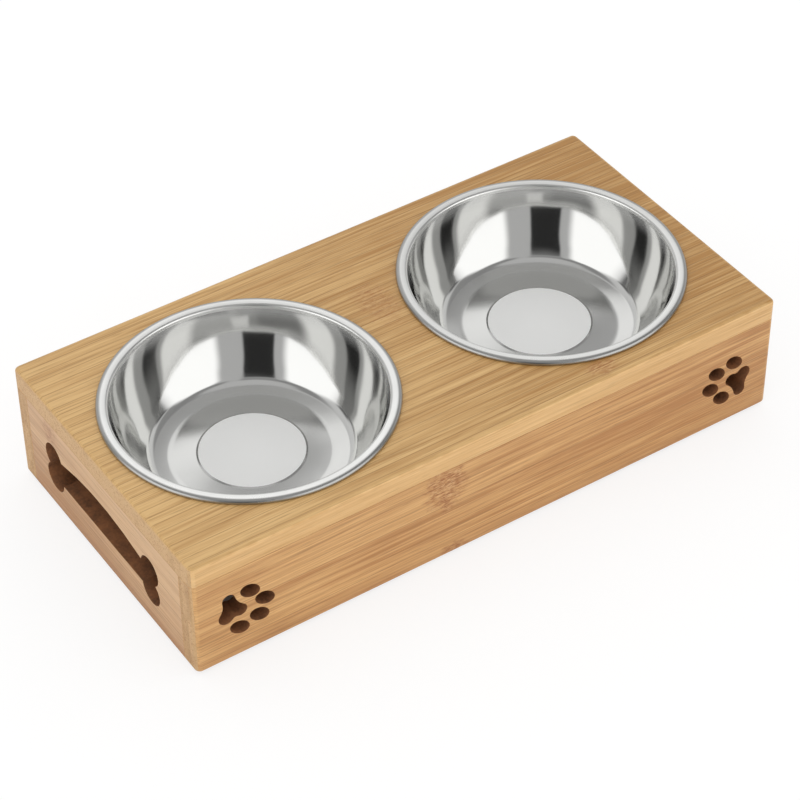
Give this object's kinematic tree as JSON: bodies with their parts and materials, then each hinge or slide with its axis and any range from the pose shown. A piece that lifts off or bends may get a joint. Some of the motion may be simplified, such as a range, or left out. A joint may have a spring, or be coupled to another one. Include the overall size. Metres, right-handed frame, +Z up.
{
  "type": "pet bowl stand",
  "caption": "Low bamboo feeding stand with lift-out steel bowls set in its top, paw cut-outs in the long sides and a bone-shaped hand hole at each end.",
  "frame": {"origin": "on the ground, under the middle of the stand", "axes": "+X along the stand, the front with the paws faces -Y, +Z up"},
  "size_m": [0.35, 0.175, 0.074],
  "materials": {
    "bamboo": "satin lacquer",
    "steel": "polished",
    "foot_pad": "matt",
    "dowel_wood": "raw"
  },
  "bodies": {
    "stand": {"top_panel": "bamboo", "front_panel": "bamboo", "rear_panel": "bamboo", "left_end_panel": "bamboo", "right_end_panel": "bamboo", "front_left_foot": "foot_pad", "front_right_foot": "foot_pad", "rear_left_foot": "foot_pad", "rear_right_foot": "foot_pad", "front_left_dowels": "dowel_wood", "front_right_dowels": "dowel_wood", "rear_left_dowels": "dowel_wood", "rear_right_dowels": "dowel_wood", "front_top_dowels": "dowel_wood", "rear_top_dowels": "dowel_wood", "left_top_dowels": "dowel_wood", "right_top_dowels": "dowel_wood"},
    "left_bowl": {"left_bowl": "steel"},
    "right_bowl": {"right_bowl": "steel"}
  },
  "joints": [
    {"name": "left_bowl_lift", "type": "slide", "parent": "stand", "child": "left_bowl", "axis": [0, 0, 1], "range_m": [0, 0.06]},
    {"name": "right_bowl_lift", "type": "slide", "parent": "stand", "child": "right_bowl", "axis": [0, 0, 1], "range_m": [0, 0.06]}
  ]
}
